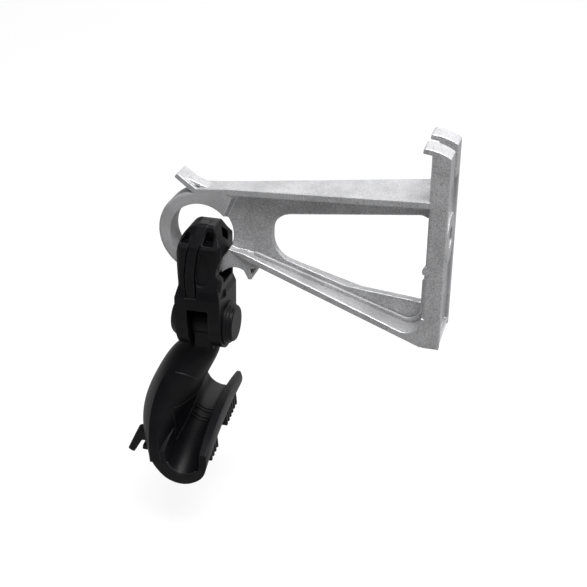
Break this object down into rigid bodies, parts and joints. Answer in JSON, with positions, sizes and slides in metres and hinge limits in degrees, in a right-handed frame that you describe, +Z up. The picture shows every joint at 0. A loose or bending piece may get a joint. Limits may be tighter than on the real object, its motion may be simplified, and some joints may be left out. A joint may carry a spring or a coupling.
{
  "type": "overhead line suspension clamp",
  "caption": "Cast pole bracket with a ring eye, a moulded link hanging in it and a pivoting cable clamp with a sliding grip jaw.",
  "frame": {"origin": "middle of the pole bolt hole, on the bracket's pole face", "axes": "+X into the pole, Y along the cable, +Z up; the arm and the ring eye reach towards -X"},
  "size_m": [0.2602, 0.1178, 0.3138],
  "materials": {
    "cast_alloy": "as-cast aluminium, fine grain",
    "black_polymer": "black moulded polymer, satin"
  },
  "bodies": {
    "frame": {"bracket": "cast_alloy"},
    "link": {"link_front_half": "black_polymer", "link_rear_half": "black_polymer", "pivot_pin": "black_polymer", "pin_cap": "black_polymer"},
    "clamp": {"clamp_body": "black_polymer"},
    "jaw": {"grip_jaw": "black_polymer"}
  },
  "joints": [
    {"name": "link_swing", "type": "hinge", "parent": "frame", "child": "link", "pos_m": [-0.1912, 0, -0.0173], "axis": [0, 1, 0], "range_deg": [-20, 60]},
    {"name": "clamp_pivot", "type": "hinge", "parent": "link", "child": "clamp", "pos_m": [-0.1912, 0, -0.0959], "axis": [1, 0, 0], "range_deg": [-40, 20]},
    {"name": "jaw_slide", "type": "slide", "parent": "clamp", "child": "jaw", "axis": [1, 0, 0], "range_m": [0, 0.009]}
  ]
}
